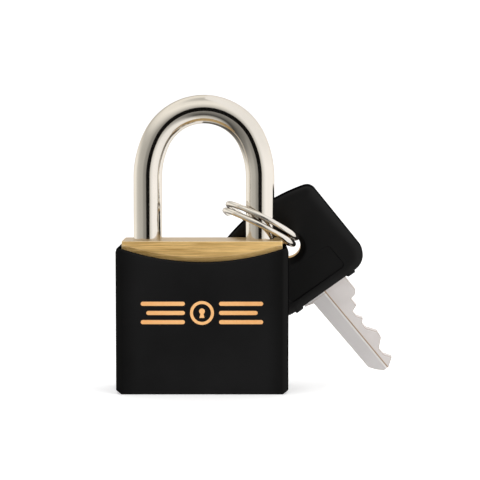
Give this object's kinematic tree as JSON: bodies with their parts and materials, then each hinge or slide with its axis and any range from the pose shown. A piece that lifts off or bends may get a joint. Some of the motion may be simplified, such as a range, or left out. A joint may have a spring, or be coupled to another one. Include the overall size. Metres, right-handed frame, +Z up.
{
  "type": "padlock",
  "caption": "Keyed brass padlock in a plastic jacket with a spring shackle, split ring and key, for luggage zips and small hasps.",
  "frame": {"origin": "bottom centre of the jacket, on the plug's axis", "axes": "+X right as seen from the front, +Y to the back, +Z up along the shackle legs"},
  "size_m": [0.0625, 0.028, 0.0653],
  "materials": {
    "brass": "brushed",
    "jacket_plastic": "satin black",
    "key_head_plastic": "satin black",
    "shackle_chrome": "polished nickel plate",
    "ring_nickel": "polished nickel plate",
    "key_nickel": "satin nickel plate",
    "inner_steel": "plain"
  },
  "bodies": {
    "lock": {"lock_body": "brass", "jacket": "jacket_plastic", "heel_retaining_pin": "inner_steel", "plug_retaining_pin": "inner_steel", "latch_channel_plug": "brass", "chamber_plugs": "brass", "driver_pin_1": "inner_steel", "driver_pin_2": "inner_steel", "driver_pin_3": "inner_steel", "driver_pin_4": "inner_steel", "driver_spring_1": "inner_steel", "driver_spring_2": "inner_steel", "driver_spring_3": "inner_steel", "driver_spring_4": "inner_steel", "shackle_spring": "inner_steel", "latch_spring": "inner_steel"},
    "plug": {"plug": "brass", "tail_cam": "inner_steel", "key_pin_1": "brass", "key_pin_2": "brass", "key_pin_3": "brass", "key_pin_4": "brass"},
    "latch": {"latch": "inner_steel"},
    "shackle": {"shackle": "shackle_chrome"},
    "ring": {"split_ring": "ring_nickel"},
    "key": {"key_blade": "key_nickel", "key_head": "key_head_plastic"}
  },
  "joints": [
    {"name": "plug_turn", "type": "hinge", "parent": "lock", "child": "plug", "pos_m": [0, 0, 0.0012], "axis": [0, 0, 1], "range_deg": [0, 90]},
    {"name": "latch_slide", "type": "slide", "parent": "lock", "child": "latch", "axis": [-1, 0, 0], "range_m": [0, 0.0042], "deforming": ["latch_spring"]},
    {"name": "shackle_lift", "type": "slide", "parent": "lock", "child": "shackle", "axis": [0, 0, 1], "range_m": [0, 0.0096], "deforming": ["shackle_spring"]},
    {"name": "ring_swing", "type": "hinge", "parent": "lock", "child": "ring", "pos_m": [0.01221, -0.00422, 0.03709], "axis": [0.8949, 0, -0.4462], "range_deg": [0, 18]},
    {"name": "key_turn", "type": "hinge", "parent": "ring", "child": "key", "pos_m": [0.019, 0.00996, 0.03147], "axis": [0.0004, -0.953, -0.303], "range_deg": [0, 20]}
  ],
  "couplings": [
    {"joint": "plug_turn", "follows": "shackle_lift", "rad_per_m": 163.62},
    {"joint": "latch_slide", "follows": "shackle_lift", "ratio": 0.4375}
  ]
}
